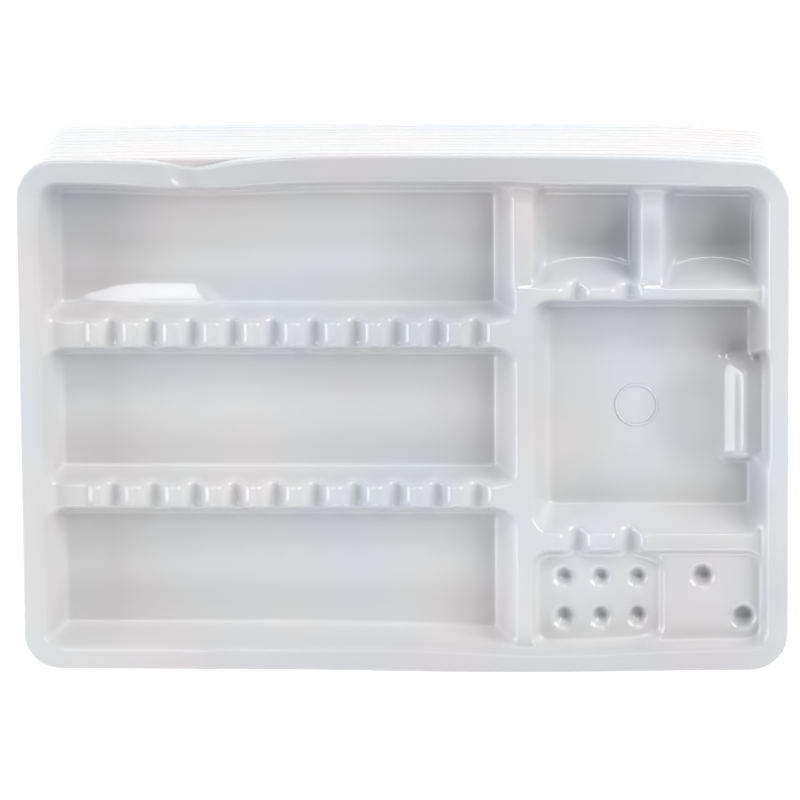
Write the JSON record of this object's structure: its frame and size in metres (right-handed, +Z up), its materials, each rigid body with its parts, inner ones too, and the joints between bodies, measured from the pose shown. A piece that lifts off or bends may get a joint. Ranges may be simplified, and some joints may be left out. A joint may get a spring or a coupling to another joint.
{
  "type": "mixing palette",
  "caption": "Stack of nested glossy white compartment palettes with long channels, wells, notched ridges, pin-hole panels and turned-down rims.",
  "frame": {"origin": "centre of the stack's footprint, on the underside of the bottom tray's floors", "axes": "+X along the trays' long side towards the wells, +Y along the short side towards the two small wells, +Z up out of the trays"},
  "size_m": [0.28, 0.188, 0.0856],
  "materials": {
    "white_polystyrene": "glossy"
  },
  "bodies": {
    "bottom_tray": {"bottom_tray": "white_polystyrene"},
    "tray_02": {"tray_02": "white_polystyrene"},
    "tray_03": {"tray_03": "white_polystyrene"},
    "tray_04": {"tray_04": "white_polystyrene"},
    "tray_05": {"tray_05": "white_polystyrene"},
    "tray_06": {"tray_06": "white_polystyrene"},
    "tray_07": {"tray_07": "white_polystyrene"},
    "tray_08": {"tray_08": "white_polystyrene"},
    "tray_09": {"tray_09": "white_polystyrene"},
    "tray_10": {"tray_10": "white_polystyrene"},
    "tray_11": {"tray_11": "white_polystyrene"},
    "top_tray": {"top_tray": "white_polystyrene"}
  },
  "joints": [
    {"name": "tray_02_lift", "type": "slide", "parent": "bottom_tray", "child": "tray_02", "axis": [0, 0, 1], "range_m": [0, 0.03]},
    {"name": "tray_03_lift", "type": "slide", "parent": "tray_02", "child": "tray_03", "axis": [0, 0, 1], "range_m": [0, 0.03]},
    {"name": "tray_04_lift", "type": "slide", "parent": "tray_03", "child": "tray_04", "axis": [0, 0, 1], "range_m": [0, 0.03]},
    {"name": "tray_05_lift", "type": "slide", "parent": "tray_04", "child": "tray_05", "axis": [0, 0, 1], "range_m": [0, 0.03]},
    {"name": "tray_06_lift", "type": "slide", "parent": "tray_05", "child": "tray_06", "axis": [0, 0, 1], "range_m": [0, 0.03]},
    {"name": "tray_07_lift", "type": "slide", "parent": "tray_06", "child": "tray_07", "axis": [0, 0, 1], "range_m": [0, 0.03]},
    {"name": "tray_08_lift", "type": "slide", "parent": "tray_07", "child": "tray_08", "axis": [0, 0, 1], "range_m": [0, 0.03]},
    {"name": "tray_09_lift", "type": "slide", "parent": "tray_08", "child": "tray_09", "axis": [0, 0, 1], "range_m": [0, 0.03]},
    {"name": "tray_10_lift", "type": "slide", "parent": "tray_09", "child": "tray_10", "axis": [0, 0, 1], "range_m": [0, 0.03]},
    {"name": "tray_11_lift", "type": "slide", "parent": "tray_10", "child": "tray_11", "axis": [0, 0, 1], "range_m": [0, 0.03]},
    {"name": "top_tray_lift", "type": "slide", "parent": "tray_11", "child": "top_tray", "axis": [0, 0, 1], "range_m": [0, 0.03]}
  ]
}
